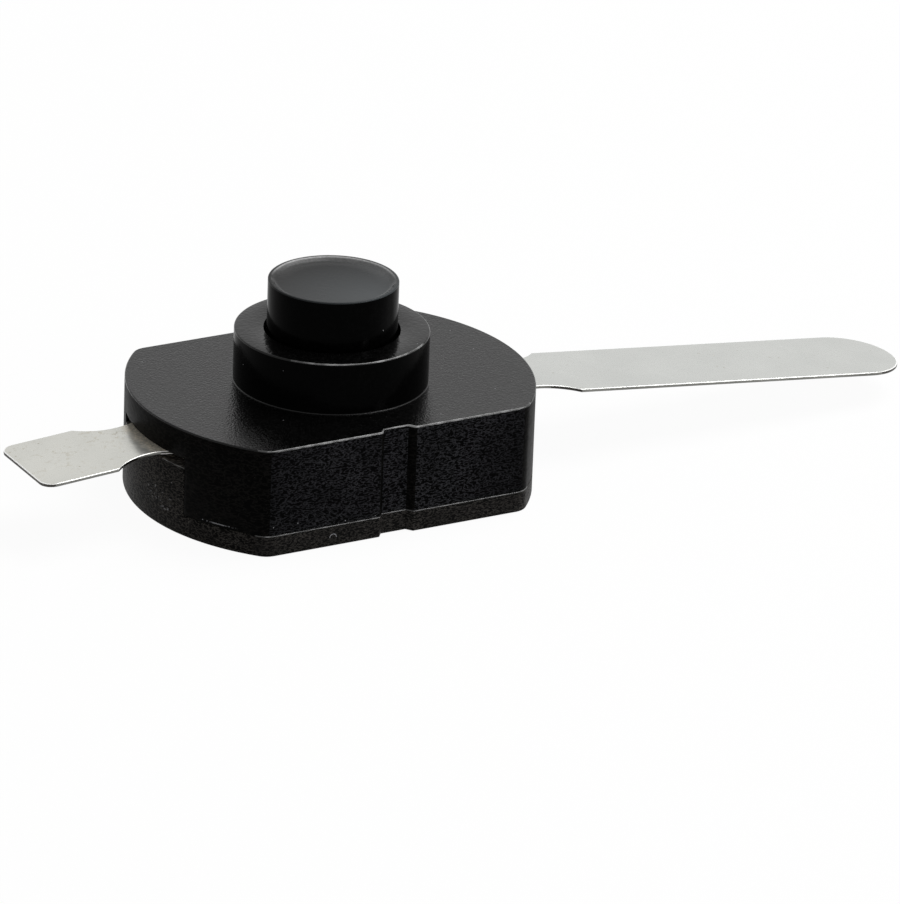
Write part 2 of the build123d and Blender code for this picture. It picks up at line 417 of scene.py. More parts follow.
satin_black = black_plastic("satin_black", pigment=0.0011, fleck=0.006, rough=0.07, shine=0.136,
                            grain_mm=0.08, relief_mm=0.017)
polished_black = black_plastic("polished_black", pigment=0.0011, fleck=0.006, rough=0.09, shine=0.145,
                               grain_mm=0.14, relief_mm=0.013)
eroded_black = black_plastic("eroded_black", pigment=0.0005, fleck=0.03, rough=0.5, shine=0.014,
                             grain_mm=0.13, relief_mm=0.03, tint=COOL, wrinkled=True, spread=towards_middle)
smooth_black = black_plastic("smooth_black", pigment=0.0003, fleck=0.0055, rough=0.4, shine=0.014,
                             grain_mm=0.2, relief_mm=0.012, tint=WARM, wrinkled=True, marks=corner_chips)
base_black = black_plastic("base_black", pigment=0.0015, fleck=0.038, rough=0.4, shine=0.035,
                           grain_mm=0.125, relief_mm=0.025, tint=WARM, wrinkled=True, marks=base_fibre)
# The round ends of the base: base black with a paler colour and less shine, set apart for how light falls
# there, so its colour is partly painted light.
lit_ends_black = black_plastic("lit_ends_black", pigment=0.002, fleck=0.056, rough=0.4, shine=0.018,
                             grain_mm=0.135, relief_mm=0.03, tint=WARM, wrinkled=True, marks=tongue_scuffs)
gloss_black = black_plastic("gloss_black", pigment=0.0004, fleck=0.0016, rough=0.15, shine=0.015,
                            grain_mm=0.16, relief_mm=0.002)
# Worn edges: a higher shine, and a pale colour that is partly a painted highlight along the lit edges.
worn_highlit_black = black_plastic("worn_highlit_black", pigment=0.015, fleck=0.3, rough=0.26, shine=0.5,
                           grain_mm=0.5, relief_mm=0.008)
# Upward faces inside the base: a paler black, as painted light in their shade.
painted_light_black = black_plastic("painted_light_black", pigment=0.03, fleck=0.25, rough=0.6, shine=0.05,
                            grain_mm=0.15, relief_mm=0.02, tint=WARM)
blacks = (satin_black, eroded_black, gloss_black, worn_highlit_black, smooth_black, polished_black)
base_blacks = (base_black, worn_highlit_black, painted_light_black, lit_ends_black)
print("black finishes", [m.name for m in (*blacks, *base_blacks)])

# %% [markdown]
# ## Metal finishes
# The terminals are steel strip with satin nickel plating: a warm pale grey, with a fine rolled grain
# along the strip, faint cloudy patches and small dark pits. The long one's plating is painted darker and
# cooler, as painted shade. The short one is also stained and scratched, and where it leaves the body it
# is tarnished and painted lighter, as painted light in the body's shade. A strip's cut edges and lower
# rounded edges are painted dark, as cut steel and as painted shade: greyer where they face front or
# back, darker elsewhere. Its rounded upper edge has a near-white painted highlight, and so has a band
# polished by the punch on the lower cut edge beside the body. Inside, the contact bridge is bare brass,
# the spring is drawn steel wire, and the rotor is natural white nylon.

# %% Make the metal and inner finishes
STAIN = (0.4, 0.365, 0.28, 1.0)
TARNISH_LIT = (0.74, 0.67, 0.54, 1.0)
PIT = (0.24, 0.21, 0.14, 1.0)
BARE_HIGHLIGHT = (0.85, 0.85, 0.83, 1.0)
PLATING_MIRROR = 0.66
PLATING_ROUGH = 0.2
ALONG_STRIP = (0.15, 1.0, 1.0)
ALONG_EDGE = (0.3, 1.0, 1.0)
ACROSS_EDGE = (1.0, 1.0, 0.3)
SCRATCH = (-8.95, 0.95, 3.35)
SCRATCH_REACH = 0.5
SCRATCH_HALF = 0.02
LAND = (-7.9, -1.6, 3.25)
LAND_REACH = 1.2
LAND_TOP_Z = 3.265
TARNISH_RADIUS = 9.05


def strip_scratch(tree):
    """A wavy scratch across the short strip, beside the body."""
    wander = tree.along("Y") + 1.1 * (tree.noise(0.5, 1.0) - 0.5)
    return (abs(wander - SCRATCH[1]) < SCRATCH_HALF) * (tree.near(SCRATCH, SCRATCH_REACH) > 0.0)


def burnished_highlit_land(tree):
    """The lower half of the cut edge beside the body: a band polished by the punch, painted near white as a
    painted highlight.
    """
    return (tree.along("Z") < LAND_TOP_Z) * (tree.near(LAND, LAND_REACH) > 0.0)


def stains(tree):
    """Dull spots, in groups."""
    spots = tree.ramp(tree.noise(0.22), (0.56, 0.0), (0.68, 1.0))
    return 0.5 * spots * tree.ramp(tree.noise(1.4), (0.4, 0.0), (0.6, 1.0))


def tarnish_and_painted_light(tree):
    """A cloudy tarnished patch where the short strip leaves the body, painted lighter as painted light in
    its shade.
    """
    nearness = TARNISH_RADIUS - tree.from_axis() + 0.5 * (tree.noise(0.5) - 0.5)
    cloudy = tree.ramp(tree.noise(0.12, 3.0, 0.6), (0.35, 0.35), (0.65, 1.0))
    return (3.0 * nearness).at_least(0.0).at_most(1.0) * cloudy


def rolled_metal(name, light, dark, rough, rolled, mirror=1.0, used=False, bright=None):
    """Rolled or drawn metal. rolled stretches its grain, and mirror is the share that isn't dulled."""
    tree = new_finish(name)
    lines = tree.noise(0.12, 3.0, 0.6, rolled)
    cloud = tree.noise(2.4, 4.0, 0.6)
    pits = tree.specks(0.5, 0.09) * (tree.noise(1.1) > 0.5)
    colour = tree.blend(tree.ramp(cloud, (0.3, 0.0), (0.75, 1.0)), dark, light)
    shine = mirror + 0.3 * (tree.noise(0.25) - 0.5)
    if used:
        # The root patch is tarnish, painted lighter and less mirror-like as painted light in the body's
        # shade.
        dull, root = stains(tree), tarnish_and_painted_light(tree)
        colour = tree.blend(root, tree.blend(dull, colour, STAIN), TARNISH_LIT)
        shine = shine - 0.45 * dull - 0.6 * root
        pits = pits.at_least(strip_scratch(tree))
    if bright:
        # The bright land is a painted highlight over a band polished by the punch.
        colour = tree.blend(bright(tree), colour, BARE_HIGHLIGHT)
    roughness = rough + 0.08 * (lines - 0.5) + 0.1 * (cloud - 0.5)
    relief = tree.bump(tree.noise(0.45) + 0.4 * (lines - pits), 0.006)
    return tree.finish(tree.principled(Base_Color=tree.blend(pits * 0.5, colour, PIT), Metallic=shine,
                                       Roughness=roughness, Normal=relief))


def moulded_white(name):
    tree = new_finish(name)
    cloud = tree.noise(1.2, 3.0)
    colour = tree.blend(cloud, (0.7, 0.68, 0.61, 1.0), (0.82, 0.8, 0.74, 1.0))
    return tree.finish(tree.principled(Base_Color=colour, Roughness=0.4 + 0.1 * cloud,
                                       Normal=tree.bump(tree.noise(0.15), 0.003)))


nickel = rolled_metal("satin_nickel", (0.605, 0.602, 0.558, 1.0), (0.55, 0.549, 0.508, 1.0),
                      PLATING_ROUGH, ALONG_STRIP, PLATING_MIRROR, used=True)
# The long strip's plating: the same nickel, painted darker and cooler as painted shade.
shaded_nickel = rolled_metal("shaded_nickel", (0.545, 0.555, 0.53, 1.0), (0.5, 0.51, 0.487, 1.0),
                           PLATING_ROUGH, ALONG_STRIP, PLATING_MIRROR)
# Cut edges and the lower rounded edges: dark, partly as cut steel and partly as painted shade; greyer where
# they face front or back.
darker_cut = rolled_metal("darker_cut_edge", (0.1, 0.096, 0.088, 1.0), (0.03, 0.028, 0.025, 1.0),
                       rough=0.45, rolled=ACROSS_EDGE, bright=burnished_highlit_land)
greyer_cut = rolled_metal("greyer_cut_edge", (0.26, 0.26, 0.245, 1.0), (0.15, 0.15, 0.14, 1.0),
                       rough=0.4, rolled=ALONG_EDGE)
# The rounded upper edges: a near-white painted highlight.
highlit_edges = rolled_metal("highlit_edge_finish", (0.96, 0.96, 0.94, 1.0), (0.9, 0.9, 0.88, 1.0),
                         rough=0.3, rolled=ALONG_EDGE, mirror=0.3)
brass = rolled_metal("bare_brass", (0.8, 0.6, 0.32, 1.0), (0.7, 0.5, 0.24, 1.0),
                     rough=0.3, rolled=ALONG_EDGE)
spring_steel = rolled_metal("drawn_steel", (0.56, 0.57, 0.58, 1.0), (0.44, 0.44, 0.45, 1.0),
                            rough=0.25, rolled=EVEN)
natural_white = moulded_white("natural_white")
strip_edges = (darker_cut, greyer_cut, highlit_edges)
print("plating", nickel.name, shaded_nickel.name, "strip edges", [m.name for m in strip_edges])
print("inner finishes", [m.name for m in (brass, spring_steel, natural_white)])

# %% [markdown]
# ## Drawing and pulling
# The pieces are prisms with rounded plans, so they are made the way a toolmaker would draw them: a
# vertex is dragged along lines and spun along arcs until the plan is closed, and its edges are then
# pulled up, in or down. Flat faces are filled in last, and every edge that a finger would feel is
# rounded with a bevel.

# %% Define the drawing tools
TINY = 1e-4
SHARP_FOLD = radians(35)
FLAT_FOLD = radians(1)
SIDES = (-1, 1)


def is_at(length, target):
    """True when a length agrees with a target, in millimetres."""
    return abs(length - target) < TINY


def off_axis(place):
    """The distance of a place from the button's axis."""
    return hypot(place.x, place.y)


def middle(edge):
    return (edge.verts[0].co + edge.verts[1].co) / 2


def is_open(edge):
    return len(edge.link_faces) == 1


def only_verts(parts):
    return [p for p in parts if isinstance(p, bmesh.types.BMVert)]


def start_at(bm, x, y, z):
    return bmesh.ops.create_vert(bm, co=(x, y, z))["vert"][0]


def line_to(bm, start, x, y):
    """Drags a vertex to a new place, which leaves an edge behind it."""
    end = bmesh.ops.extrude_vert_indiv(bm, verts=[start])["verts"][0]
    end.co.x = x
    end.co.y = y
    return end


def arc_about(bm, start, x, y, angle, steps):
    """Spins a vertex about an upright axis, which leaves an arc behind it. The angle is in radians."""
    centre = (x, y, start.co.z)
    made = bmesh.ops.spin(bm, geom=[start], cent=centre, axis=(0, 0, 1), angle=angle, steps=steps)
    return only_verts(made["geom_last"])[0]


def draw_circle(bm, radius, level, steps, x=0.0):
    bmesh.ops.create_circle(bm, segments=steps, radius=radius, matrix=Matrix.Translation((x, 0, level)))


def loose_edges(bm):
    return [e for e in bm.edges if not e.link_faces]


def mirror_plan(bm, before, *axes):
    """Completes a part of a plan, drawn since before was noted, across x = 0 or y = 0."""
    for axis in axes:
        verts = [v for v in bm.verts if v not in before]
        edges = list({e for v in verts for e in v.link_edges})
        bmesh.ops.mirror(bm, geom=verts + edges, matrix=Matrix(), merge_dist=TINY, axis=axis)


def pull(bm, edges, rise=0.0, spread=1.0):
    """Extrudes edges upwards, or away from the button's axis, and returns the edges at the far side."""
    made = bmesh.ops.extrude_edge_only(bm, edges=edges)["geom"]
    moved = set(only_verts(made))
    bmesh.ops.scale(bm, verts=list(moved), vec=(spread, spread, 1.0))
    bmesh.ops.translate(bm, verts=list(moved), vec=(0, 0, rise))
    return [e for e in bm.edges if e.verts[0] in moved and e.verts[1] in moved]


def at_level(edge, level):
    return all(is_at(v.co.z, level) for v in edge.verts)


def open_at(bm, level):
    """The open edges that lie at one level."""
    return [e for e in bm.edges if len(e.link_faces) < 2 and at_level(e, level)]


def fill_level(bm, level):
    """Fills the open edges at one level with flat faces, as few as the holes allow."""
    made = bmesh.ops.triangle_fill(bm, edges=open_at(bm, level), use_beauty=True)["geom"]
    new = {g for g in made if isinstance(g, bmesh.types.BMFace)}
    inner = [e for e in bm.edges if len(e.link_faces) == 2 and all(f in new for f in e.link_faces)]
    bmesh.ops.dissolve_limit(bm, angle_limit=FLAT_FOLD, edges=inner)


def sharp_edges(bm, test):
    """The edges with a clear fold, both of whose ends pass a test on their place."""
    folded = [e for e in bm.edges if len(e.link_faces) == 2 and e.calc_face_angle() > SHARP_FOLD]
    return [e for e in folded if all(test(v.co) for v in e.verts)]


def round_off(bm, edges, radius, segments, finish=0):
    """Rounds some edges, and gives the new faces one of the piece's finishes."""
    made = bmesh.ops.bevel(bm, geom=edges, offset=radius, offset_type="OFFSET", segments=segments,
                           profile=0.5, affect="EDGES", material=-1, clamp_overlap=False)
    for face in made["faces"]:
        face.material_index = finish


def settle(bm, name, node, body, finishes):
    """Turns a modelled piece into an object of the frame, in metres, with clean shading."""
    bmesh.ops.remove_doubles(bm, verts=bm.verts, dist=TINY)
    bmesh.ops.recalc_face_normals(bm, faces=bm.faces)
    open_count = sum(1 for e in bm.edges if len(e.link_faces) != 2)
    bmesh.ops.scale(bm, verts=bm.verts, vec=(MM, MM, MM))
    for face in bm.faces:
        face.smooth = True
    for edge in bm.edges:
        edge.smooth = len(edge.link_faces) == 2 and edge.calc_face_angle() < SHARP_FOLD
    mesh = bpy.data.meshes.new(name)
    bm.to_mesh(mesh)
    bm.free()
    piece = bpy.data.objects.new(name, mesh)
    bpy.context.scene.collection.objects.link(piece)
    for finish in finishes:
        mesh.materials.append(finish)
    shading = piece.modifiers.new("flat faces stay flat", "WEIGHTED_NORMAL")
    shading.keep_sharp = True
    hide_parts(node)
    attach(piece, body)
    print(name, "has", len(mesh.polygons), "faces and", open_count, "open edges")
    return piece


print("drawing tools ready")

# %% [markdown]
# ## The body's plan
# Seen from above, the body is a disc with its front and back cut flat, its four corners rounded and a
# narrow key channel down the middle of each flat. Only a quarter is drawn: along the flat, round the
# corner, and round the end to the centre line. Mirrors give the rest, and the same plan set further in
# gives the cavity.

# %% Draw the body's plan
shell_low, shell_high = box_mm("top_housing")
END_RADIUS = shell_high.x
FLAT_HALF = shell_high.y
SEAM_Z = shell_low.z
COLLAR_TOP_Z = shell_high.z
BODY_TOP_Z = 4.6
SIDE_WALL = 1.2
CORNER_RADIUS = 0.8
KEY_HALF = 0.55
KEY_DEPTH = 0.28
KEY_FLARE = 0.22
FLAT_MARGIN = 0.1
END_STEPS = 22
CORNER_STEPS = 8


def draw_plan(bm, level, inset=0.0, slot_half=0.0, keyed=False):
    """Draws the body's plan at one level, set in by inset, with points at the sides of the end slots."""
    before = set(bm.verts)
    radius = END_RADIUS - inset
    flat = FLAT_HALF - inset
    if keyed:
        at = start_at(bm, 0, KEY_DEPTH - flat, level)
        at = line_to(bm, at, KEY_HALF, KEY_DEPTH - flat)
        at = line_to(bm, at, KEY_HALF + KEY_FLARE, -flat)
    else:
        at = start_at(bm, 0, -flat, level)
    corner_y = CORNER_RADIUS - flat
    corner_x = sqrt((radius - CORNER_RADIUS) ** 2 - corner_y ** 2)
    end_angle = atan2(corner_y, corner_x)
    slot_angle = -asin(slot_half / radius)
    at = line_to(bm, at, corner_x, -flat)
    at = arc_about(bm, at, corner_x, corner_y, end_angle + pi / 2, CORNER_STEPS)
    at = arc_about(bm, at, 0, 0, slot_angle - end_angle, END_STEPS)
    if slot_half:
        arc_about(bm, at, 0, 0, -slot_angle, END_STEPS)
    mirror_plan(bm, before, "X", "Y")


def is_outside(place):
    """True on the body's outer wall, and false inside the cavity."""
    far_out = off_axis(place) > END_RADIUS - SIDE_WALL / 2
    return far_out or abs(place.y) > FLAT_HALF - SIDE_WALL / 2


def on_flat(place):
    """True on the front and the back of the body, with the floors of the key channels."""
    return abs(place.y) > FLAT_HALF - KEY_DEPTH - FLAT_MARGIN


def is_upright(edge):
    first, second = (v.co for v in edge.verts)
    return off_axis(first - second) < TINY


def key_edges(bm):
    """The upright outer edges of the key channels."""
    on_face = sharp_edges(bm, lambda p: abs(p.y) > FLAT_HALF - TINY)
    beside = [e for e in on_face if abs(middle(e).x) < KEY_HALF + KEY_FLARE + TINY]
    return [e for e in beside if is_upright(e)]


print("plan: ends of radius", round(END_RADIUS, 2), "flats at", round(FLAT_HALF, 2), "mm")

# %% [markdown]
# ## The latch's zigzag
# The latch turns a press into a click by pairs of slanted teeth: eight notches in the button's crown
# and one in the foot of each rib of the housing. Each notch is a wedge that starts on the button's axis
# and deepens with the radius. It needs no cutting tool: a vertex on such a face is lifted by a formula.

# %% Shape the latch teeth
TOOTH_PITCH = radians(45)
TOOTH_HEIGHT = 0.6
BUTTON_RADIUS = 2.675


def tooth_lift(place, pitch):
    """How far a notch lifts a point, for notches that are centred on every pitch round the axis."""
    angle = atan2(place.y, place.x)
    aside = abs(angle - pitch * round(angle / pitch))
    share = 1.0 - tan(aside) / tan(TOOTH_PITCH / 2)
    forward = off_axis(place) * cos(aside)
    return max(0.0, TOOTH_HEIGHT * forward / BUTTON_RADIUS * share)


def lift_teeth(edges, level, pitch):
    """Lifts the vertices of some edges onto the notches that start at a level."""
    for vert in {v for e in edges for v in e.verts}:
        vert.co.z = level + tooth_lift(vert.co, pitch)


def flatten(edges, level):
    for vert in {v for e in edges for v in e.verts}:
        vert.co.z = level


deepest = tooth_lift(Vector((BUTTON_RADIUS, 0, 0)), TOOTH_PITCH)
print("a notch at the button's edge is", deepest, "mm deep")

# %% [markdown]
# ## The housing
# The housing is one moulding: a wall on the body's plan, a collar round the button, a bore with four
# guide grooves inside the collar, and a slot at each end for a terminal. It could be cut from a block
# with booleans, but those leave messy edges that don't bevel well. Instead one loop is pulled all the
# way through: up the wall, and from the bore up, over the collar's rim and down to the top face.

# %% Model the housing
CEILING_Z = 3.37
CAP_Z = 6.0
COLLAR_RADIUS = 4.0
BORE_RADIUS = 3.275
GUIDE_RADIUS = 2.775
GROOVE_PITCH = radians(90)
GROOVE_HALF = radians(15)
SLOT_HALF = 2.65
PEG_RADIUS = 0.45
PEG_X = 5.7375
PEG_Z = 2.87
ROUND_STEPS = 192
PEG_STEPS = 32
EDGE_ROUND = 0.065
ROOT_ROUND = 0.04
MOUTH_ROUND = 0.05
SEAM_ROUND = 0.04
SLOT_ROUND = 0.03
HIGHLIGHT_FRONT = 2.4
HIGHLIGHT_RIGHT = 2.6
LEVEL = 0.9
LEANING = 0.2
FACING_FRONT = 0.95
SATIN, ERODED, GLOSS, WORN_HIGHLIT, SMOOTH, POLISHED = range(6)


def near_groove(place, half_width):
    """True within an angle of a guide groove's middle. The grooves lie at 45 degrees to X and Y."""
    angle = atan2(place.y, place.x) - GROOVE_PITCH / 2
    return abs(angle - GROOVE_PITCH * round(angle / GROOVE_PITCH)) < half_width


def close_sectors(bm, radius):
    """Joins pulled sectors to their neighbours, and closes their upright sides."""
    bmesh.ops.remove_doubles(bm, verts=bm.verts, dist=TINY)
    sides = [e for e in bm.edges if is_open(e) and off_axis(middle(e)) < radius + TINY]
    bmesh.ops.holes_fill(bm, edges=sides, sides=4)


def open_slots(bm):
    """Cuts the terminal slots through the outer and the inner wall, and lines their sides."""
    middles = {f: f.calc_center_median() for f in bm.faces}
    ends = [f for f, m in middles.items() if abs(m.y) < SLOT_HALF and abs(m.x) > BORE_RADIUS]
    windows = [f for f in ends if middles[f].z < CEILING_Z]
    bmesh.ops.delete(bm, geom=windows, context="FACES")
    jambs = [e for e in bm.edges if is_open(e) and is_upright(e)]
    for x_side, y_side in product(SIDES, SIDES):
        pair = [e for e in jambs if middle(e).x * x_side > 0 and middle(e).y * y_side > 0]
        bmesh.ops.contextual_create(bm, geom=pair)


def pull_bore(bm):
    """Pulls the bore's edge up into grooves and ribs, through the cap, and over the collar's rim."""
    edge = open_at(bm, CEILING_Z)
    grooves = [e for e in edge if near_groove(middle(e), GROOVE_HALF)]
    ribs = [e for e in edge if not near_groove(middle(e), GROOVE_HALF)]
    inwards = GUIDE_RADIUS / BORE_RADIUS
    pull(bm, pull(bm, grooves, CAP_Z - CEILING_Z), spread=inwards)
    notch = pull(bm, ribs)
    foot = pull(bm, notch, spread=inwards)
    face = pull(bm, foot)
    lift_teeth(notch + foot, CEILING_Z, GROOVE_PITCH)
    flatten(face, CAP_Z)
    close_sectors(bm, BORE_RADIUS)
    guide = pull(bm, open_at(bm, CAP_Z), COLLAR_TOP_Z - CAP_Z)
    rim = pull(bm, guide, spread=COLLAR_RADIUS / GUIDE_RADIUS)
    pull(bm, rim, BODY_TOP_Z - COLLAR_TOP_Z)


def round_shell(bm):
    """Rounds the edges of the moulding, from the slots' mouths to the rim of the collar."""
    mouths = sharp_edges(bm, lambda p: off_axis(p) > END_RADIUS - TINY and p.z < CEILING_Z + TINY)
    mouths = [e for e in mouths if all(abs(v.co.y) < SLOT_HALF + TINY for v in e.verts)]
    round_off(bm, mouths, SLOT_ROUND, 2)
    top = sharp_edges(bm, lambda p: is_at(p.z, BODY_TOP_Z) and is_outside(p))
    round_off(bm, top + key_edges(bm), EDGE_ROUND, 4, WORN_HIGHLIT)
    root = sharp_edges(bm, lambda p: is_at(p.z, BODY_TOP_Z) and not is_outside(p))
    round_off(bm, root, ROOT_ROUND, 3)
    seam = sharp_edges(bm, lambda p: is_at(p.z, SEAM_Z) and is_outside(p))
    round_off(bm, seam, SEAM_ROUND, 3, WORN_HIGHLIT)
    rim = sharp_edges(bm, lambda p: is_at(p.z, COLLAR_TOP_Z) and off_axis(p) > BORE_RADIUS)
    round_off(bm, rim, EDGE_ROUND, 5, WORN_HIGHLIT)
    mouth = sharp_edges(bm, lambda p: is_at(p.z, COLLAR_TOP_Z) and off_axis(p) < BORE_RADIUS)
    round_off(bm, mouth, MOUTH_ROUND, 3)


def on_front_rim(place):
    """True on the front stretch of the collar's rim, which gets the worn finish and its painted highlight.
    """
    in_front = place.y < -HIGHLIGHT_FRONT and place.x < HIGHLIGHT_RIGHT
    return in_front and place.z > COLLAR_TOP_Z - EDGE_ROUND


def pick_finish(face):
    """The flats are eroded, the round ends smoother, the collar glossy, and some edges worn, with a painted
    highlight.
    """
    place = face.calc_center_median()
    rounded = face.material_index == WORN_HIGHLIT
    if rounded and face.normal.z > LEANING and (on_flat(place) or on_front_rim(place)):
        return WORN_HIGHLIT
    at_root = off_axis(place) > COLLAR_RADIUS and place.z < BODY_TOP_Z + ROOT_ROUND
    at_top = place.z > BODY_TOP_Z - EDGE_ROUND and (rounded or at_root)
    if abs(face.normal.z) > LEVEL or at_top:
        return POLISHED if place.z > COLLAR_TOP_Z - EDGE_ROUND else SATIN
    if not is_outside(place):
        return GLOSS
    return ERODED if abs(face.normal.y) > FACING_FRONT else SMOOTH


def build_housing():
    bm = bmesh.new()
    draw_plan(bm, SEAM_Z, 0.0, SLOT_HALF, keyed=True)
    wall = pull(bm, loose_edges(bm), CEILING_Z - SEAM_Z)
    pull(bm, wall, BODY_TOP_Z - CEILING_Z)
    draw_plan(bm, SEAM_Z, SIDE_WALL, SLOT_HALF)
    pull(bm, loose_edges(bm), CEILING_Z - SEAM_Z)
    open_slots(bm)
    fill_level(bm, SEAM_Z)
    draw_circle(bm, BORE_RADIUS, CEILING_Z, ROUND_STEPS)
    for side in SIDES:
        draw_circle(bm, PEG_RADIUS, CEILING_Z, PEG_STEPS, side * PEG_X)
    fill_level(bm, CEILING_Z)
    pegs = [e for e in open_at(bm, CEILING_Z) if off_axis(middle(e)) > BORE_RADIUS]
    pull(bm, pegs, PEG_Z - CEILING_Z)
    fill_level(bm, PEG_Z)
    pull_bore(bm)
    fill_level(bm, BODY_TOP_Z)
    bmesh.ops.recalc_face_normals(bm, faces=bm.faces)
    round_shell(bm)
    for face in bm.faces:
        face.material_index = pick_finish(face)
    settle(bm, "housing_shell", "top_housing", "housing", blacks)


build_housing()

# %% [markdown]
# ## The base
# The base closes the housing from below. A tongue at each end rises into the housing's slot and clamps
# the terminal there, a rim inside lines it up, and a round recess with a boss seats the spring. The
# tongue's rib is made by slicing the tongue's top face and pulling the slice up.

# %% Model the base
TONGUE_HALF = 2.62
TONGUE_Z = 2.97
TONGUE_INNER = 6.75
CLAMP_Z = 3.22
CLAMP_END = 7.2
STRIP_HALF = 2.17
RIM_INSET = 1.23
RIM_WALL = 0.45
RIM_Z = 1.41
SEAT_RADIUS = 2.15
SEAT_BOSS = 0.91
SEAT_Z = 0.45
BASE_ROUND = 0.07
SEAT_STEPS = 96
BASE, BASE_WORN_HIGHLIT, BASE_PAINTED_LIGHT, BASE_ENDS = range(4)


def raise_tongues(bm):
    """Raises the round ends of the base into tongues, and gives each a flat inner side."""
    ends = [e for e in open_at(bm, SEAM_Z) if abs(middle(e).x) > TONGUE_INNER]
    pull(bm, [e for e in ends if abs(middle(e).y) < TONGUE_HALF], TONGUE_Z - SEAM_Z)
    for side in SIDES:
        jambs = [e for e in bm.edges if is_open(e) and is_upright(e)]
        jambs = [e for e in jambs if middle(e).x * side > 0]
        reach = side * TONGUE_INNER - middle(jambs[0]).x
        made = bmesh.ops.extrude_edge_only(bm, edges=jambs)["geom"]
        moved = only_verts(made)
        bmesh.ops.translate(bm, verts=moved, vec=(reach, 0, 0))
        inner = [e for e in bm.edges if is_upright(e) and e.verts[0] in moved]
        bmesh.ops.contextual_create(bm, geom=inner)
    fill_level(bm, TONGUE_Z)


def tongue_tops(bm):
    return [f for f in bm.faces if all(is_at(v.co.z, TONGUE_Z) for v in f.verts)]


def raise_ribs(bm):
    """Slices the top of each tongue, and pulls up the slice that clamps the strip."""
    cuts = [((side * CLAMP_END, 0, 0), (1, 0, 0)) for side in SIDES]
    cuts += [((0, side * STRIP_HALF, 0), (0, 1, 0)) for side in SIDES]
    for place, across in cuts:
        parts = {p for f in tongue_tops(bm) for p in (*f.verts, *f.edges, f)}
        bmesh.ops.bisect_plane(bm, geom=list(parts), plane_co=place, plane_no=across)
    middles = {f: f.calc_center_median() for f in tongue_tops(bm)}
    ribs = [f for f, m in middles.items() if abs(m.x) < CLAMP_END and abs(m.y) < STRIP_HALF]
    made = bmesh.ops.extrude_face_region(bm, geom=ribs)["geom"]
    bmesh.ops.delete(bm, geom=ribs, context="FACES_ONLY")
    bmesh.ops.translate(bm, verts=only_verts(made), vec=(0, 0, CLAMP_Z - TONGUE_Z))


def draw_rims(bm):
    """Draws the two halves of the rim that lines up the housing, between the tongues."""
    before = set(bm.verts)
    for inset in (RIM_INSET, RIM_INSET + RIM_WALL):
        draw_plan(bm, SEAM_Z, inset, SLOT_HALF)
    drawn = {e for v in bm.verts if v not in before for e in v.link_edges}
    ends = [e for e in drawn if abs(middle(e).y) < SLOT_HALF and abs(middle(e).x) > SEAT_RADIUS]
    bmesh.ops.delete(bm, geom=ends, context="EDGES")
    tips = [v for v in bm.verts if v not in before and len(v.link_edges) == 1]
    for x_side, y_side in product(SIDES, SIDES):
        pair = [v for v in tips if v.co.x * x_side > 0 and v.co.y * y_side > 0]
        bmesh.ops.contextual_create(bm, geom=pair)


def sink_seat(bm):
    """Raises the rims, and sinks the spring's seat round its boss."""
    open_edges = open_at(bm, SEAM_Z)
    seat = [e for e in open_edges if off_axis(middle(e)) < SEAT_RADIUS]
    pull(bm, [e for e in open_edges if e not in seat], RIM_Z - SEAM_Z)
    fill_level(bm, RIM_Z)
    pull(bm, seat, SEAT_Z - SEAM_Z)
    draw_circle(bm, SEAT_BOSS, SEAT_Z, SEAT_STEPS)
    fill_level(bm, SEAT_Z)
    pull(bm, open_at(bm, SEAT_Z), SEAM_Z - SEAT_Z)
    fill_level(bm, SEAM_Z)


def pick_base_finish(face):
    """Inner upward faces are painted paler as painted light in their shade; the round ends get a paler
    copy, partly painted light.
    """
    place = face.calc_center_median()
    if place.z > SEAM_Z + TINY and face.normal.z > LEVEL:
        return BASE_PAINTED_LIGHT
    at_tongue_corner = place.z > TONGUE_Z - SLOT_ROUND and abs(place.y) > TONGUE_HALF / 2
    return face.material_index if on_flat(place) or at_tongue_corner else BASE_ENDS


def build_base():
    bm = bmesh.new()
    draw_plan(bm, 0.0, 0.0, TONGUE_HALF, keyed=True)
    pull(bm, loose_edges(bm), SEAM_Z)
    fill_level(bm, 0.0)
    raise_tongues(bm)
    raise_ribs(bm)
    draw_circle(bm, SEAT_RADIUS, SEAM_Z, SEAT_STEPS)
    draw_rims(bm)
    fill_level(bm, SEAM_Z)
    sink_seat(bm)
    bmesh.ops.recalc_face_normals(bm, faces=bm.faces)
    round_off(bm, sharp_edges(bm, lambda p: is_at(p.z, 0.0)), BASE_ROUND, 3, BASE)
    seam = sharp_edges(bm, lambda p: is_at(p.z, SEAM_Z) and is_outside(p))
    round_off(bm, seam, SEAM_ROUND, 3, BASE_WORN_HIGHLIT)
    tips = sharp_edges(bm, lambda p: is_at(p.z, TONGUE_Z) and off_axis(p) > END_RADIUS - TINY)
    round_off(bm, tips, SLOT_ROUND, 2, BASE_WORN_HIGHLIT)
    for face in bm.faces:
        face.material_index = pick_base_finish(face)
    settle(bm, "base_plate", "base_cover", "housing", base_blacks)


build_base()

# %% [markdown]
# ## The button
# The button is a plain plunger above and half of the latch below: a crown with eight notches, four lugs
# that slide in the housing's grooves, and a blind bore that centres the rotor. It is pulled as one loop
# from the bore: out along the crown, out again at the lugs, up, back in, up to the rim and down into
# the shallow dish of the top.

